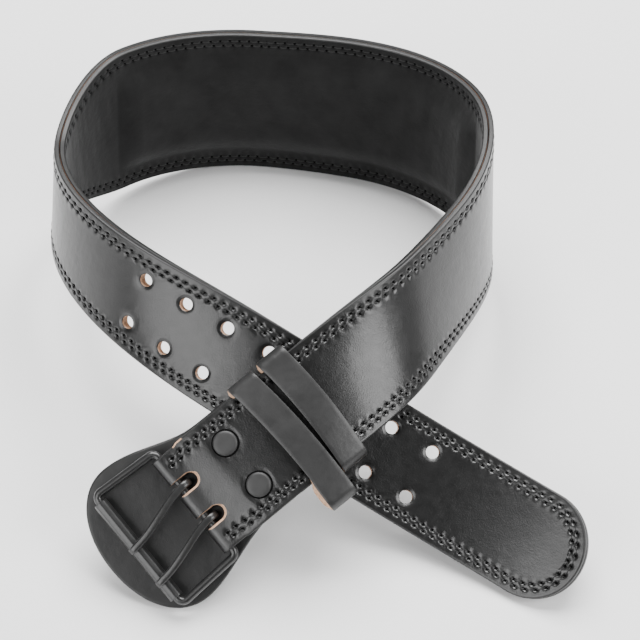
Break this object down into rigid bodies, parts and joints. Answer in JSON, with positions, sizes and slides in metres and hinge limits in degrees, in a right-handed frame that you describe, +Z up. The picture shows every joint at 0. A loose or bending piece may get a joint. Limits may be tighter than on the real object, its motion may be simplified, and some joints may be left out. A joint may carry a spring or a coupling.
{
  "type": "weightlifting belt",
  "caption": "Thick leather lifting belt with a wide padded back, punched tongue strap, guard flap, two keepers and a wire roller buckle with prongs, lying unfastened in a loop.",
  "frame": {"origin": "on the ground under the middle of the belt's outline", "axes": "+Z up, +Y towards the wide back, +X towards the tongue's side of the loop"},
  "size_m": [0.3254, 0.3738, 0.1223],
  "materials": {
    "outer_leather": "glossy black finished grain leather",
    "lining_suede": "matte black suede",
    "flap_leather": "satin black leather with rounded edges",
    "keeper_leather": "satin black leather with raw tan edges",
    "black_steel": "semi-gloss black painted steel"
  },
  "bodies": {
    "belt": {"outer_strap": "outer_leather", "lining_strap": "lining_suede", "guard_flap": "flap_leather", "keeper_front": "keeper_leather", "keeper_rear": "keeper_leather", "rivet_upper": "black_steel", "rivet_lower": "black_steel"},
    "frame": {"buckle_frame": "black_steel"},
    "roller": {"roller": "black_steel"},
    "prong_upper": {"prong_upper": "black_steel"},
    "prong_lower": {"prong_lower": "black_steel"}
  },
  "joints": [
    {"name": "frame_hinge", "type": "hinge", "parent": "belt", "child": "frame", "pos_m": [-0.0666, -0.13877, 0.0454], "axis": [-0.628, 0.6474, 0.432], "range_deg": [0, 45]},
    {"name": "roller_spin", "type": "hinge", "parent": "frame", "child": "roller", "pos_m": [-0.10001, -0.1598, 0.02835], "axis": [-0.628, 0.6474, 0.432], "continuous": true},
    {"name": "prong_upper_hinge", "type": "hinge", "parent": "frame", "child": "prong_upper", "pos_m": [-0.07429, -0.13084, 0.05069], "axis": [-0.628, 0.6474, 0.432], "range_deg": [0, 55]},
    {"name": "prong_lower_hinge", "type": "hinge", "parent": "frame", "child": "prong_lower", "pos_m": [-0.05891, -0.1467, 0.04011], "axis": [-0.628, 0.6474, 0.432], "range_deg": [0, 55]}
  ]
}
